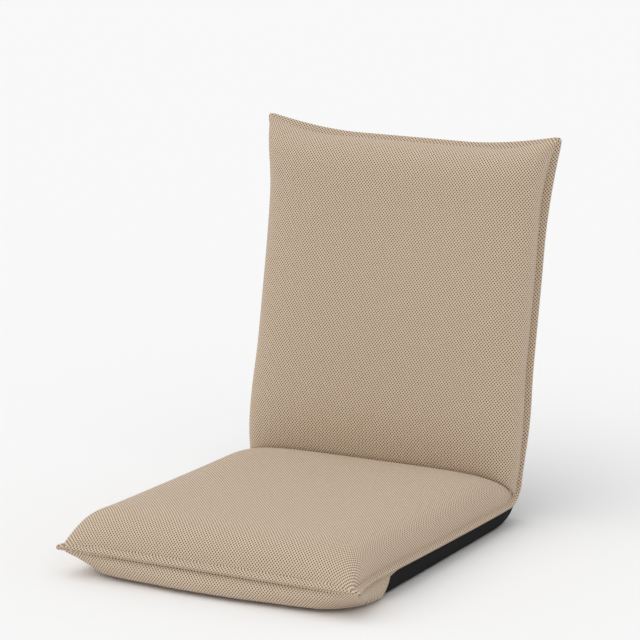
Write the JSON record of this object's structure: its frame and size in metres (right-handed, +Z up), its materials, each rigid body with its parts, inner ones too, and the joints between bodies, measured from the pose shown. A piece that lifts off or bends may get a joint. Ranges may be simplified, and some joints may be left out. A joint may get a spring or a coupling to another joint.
{
  "type": "folding floor chair",
  "caption": "Legless padded floor chair: a mesh-covered seat and back with seam piping and a dark base cover, joined by ratchet hinges that let the back recline flat.",
  "frame": {"origin": "on the floor, in the middle of the seat's underside, midway between the hinge axis and the seat's front edge", "axes": "+Z up, the chair faces -Y, +X is the sitter's left"},
  "size_m": [0.5126, 0.7083, 0.5965],
  "materials": {
    "mesh": "beige open air-mesh with dark pores",
    "piping": "beige air-mesh piping",
    "base_cloth": "black woven cloth",
    "foam": "cream polyurethane foam",
    "webbing": "black woven webbing",
    "frame_paint": "black painted steel tube",
    "zip_cloth": "black zip tape",
    "zinc": "black lacquered zip slider",
    "hinge_steel": "zinc-plated pressed steel",
    "rivet_steel": "plated steel",
    "spring_steel": "blued spring steel"
  },
  "bodies": {
    "seat": {"seat_frame_tube": "frame_paint", "seat_cross_tube": "frame_paint", "seat_straps": "webbing", "seat_tube_rivets": "rivet_steel", "seat_foam": "foam", "seat_lower_foam": "foam", "seat_cover": "mesh", "seat_flange": "piping", "seat_base_cover": "base_cloth", "seat_front_cap": "mesh", "corner_gusset": "base_cloth", "cover_zip": "zip_cloth", "cover_zip_slider": "zinc", "left_hinge_outer_plate": "hinge_steel", "left_hinge_inner_plate": "hinge_steel", "left_pivot_pin": "rivet_steel", "left_pawl_pin": "rivet_steel", "left_spring_post": "rivet_steel", "left_pawl_spring": "spring_steel", "right_hinge_outer_plate": "hinge_steel", "right_hinge_inner_plate": "hinge_steel", "right_pivot_pin": "rivet_steel", "right_pawl_pin": "rivet_steel", "right_spring_post": "rivet_steel", "right_pawl_spring": "spring_steel"},
    "backrest": {"back_frame_tube": "frame_paint", "back_cross_tube": "frame_paint", "back_straps": "webbing", "back_tube_rivets": "rivet_steel", "back_foam": "foam", "back_lower_foam": "foam", "back_cover": "mesh", "back_flange": "piping", "back_rear_cover": "base_cloth", "back_top_cap": "mesh", "left_gear_arm": "hinge_steel", "right_gear_arm": "hinge_steel"},
    "left_pawl": {"left_pawl": "hinge_steel"},
    "right_pawl": {"right_pawl": "hinge_steel"}
  },
  "joints": [
    {"name": "recline", "type": "hinge", "parent": "seat", "child": "backrest", "pos_m": [0, 0.2905, 0.03], "axis": [-1, 0, 0], "range_deg": [-6.06, 78.8], "deforming": ["corner_gusset"]},
    {"name": "left_pawl_lift", "type": "hinge", "parent": "seat", "child": "left_pawl", "pos_m": [0.2045, 0.26209, 0.02479], "axis": [-1, 0, 0], "range_deg": [-5.6, 0], "deforming": ["left_pawl_spring"]},
    {"name": "right_pawl_lift", "type": "hinge", "parent": "seat", "child": "right_pawl", "pos_m": [-0.2045, 0.26209, 0.02479], "axis": [-1, 0, 0], "range_deg": [-5.6, 0], "deforming": ["right_pawl_spring"]}
  ],
  "couplings": [
    {"joint": "right_pawl_lift", "follows": "left_pawl_lift", "ratio": 1}
  ]
}
